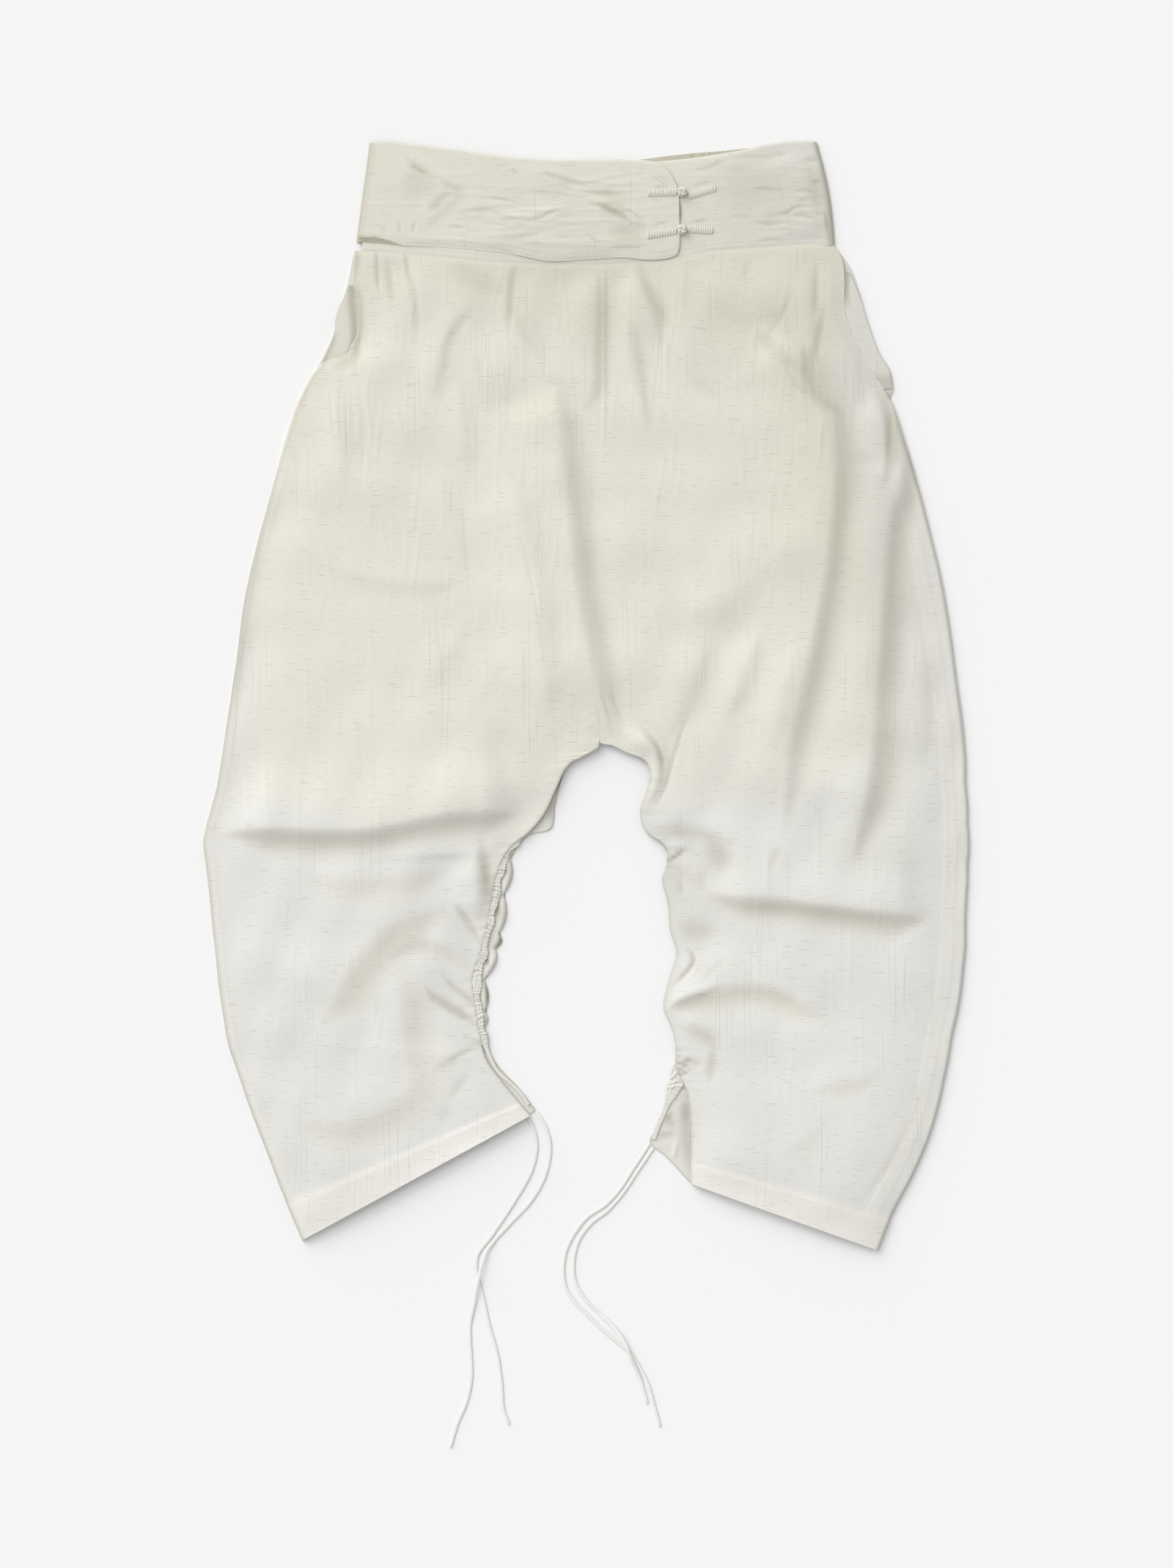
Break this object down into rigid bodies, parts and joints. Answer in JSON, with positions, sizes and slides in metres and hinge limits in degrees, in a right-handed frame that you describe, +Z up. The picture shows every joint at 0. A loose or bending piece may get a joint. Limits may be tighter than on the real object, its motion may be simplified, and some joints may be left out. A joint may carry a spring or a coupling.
{
  "type": "drop-crotch pants",
  "caption": "Drop-crotch pants in slubbed ivory cloth, laid flat, with a lapped waistband, cord frogs, slanted pockets and drawstring hems.",
  "frame": {"origin": "middle of the laid garment's footprint, at the surface it lies on", "axes": "+X across the garment to the wearer's left, +Y from the hems to the waist, +Z up off the surface"},
  "size_m": [0.6891, 1.1764, 0.0158],
  "materials": {
    "slub_cloth": "satin",
    "band_cloth": "satin",
    "lining_cloth": "satin",
    "frog_cord": "satin",
    "drawstring_cord": "matte"
  },
  "bodies": {
    "root": {"back_right": "slub_cloth", "back_left": "slub_cloth", "lining_right": "lining_cloth", "lining_left": "lining_cloth", "front_right": "slub_cloth", "front_left": "slub_cloth", "pocket_facing_right": "slub_cloth", "pocket_facing_left": "slub_cloth", "waistband_back": "band_cloth", "waistband_front_right": "band_cloth", "waistband_front_left": "band_cloth", "waist_flap": "band_cloth", "casing_right": "band_cloth", "casing_left": "band_cloth", "frog_upper_loop": "frog_cord", "frog_upper_knot": "frog_cord", "frog_upper_bar": "frog_cord", "frog_lower_loop": "frog_cord", "frog_lower_knot": "frog_cord", "frog_lower_bar": "frog_cord", "drawstring_right_inner": "drawstring_cord", "drawstring_right_outer": "drawstring_cord", "drawstring_left_outer": "drawstring_cord", "drawstring_left_inner": "drawstring_cord"}
  },
  "joints": []
}
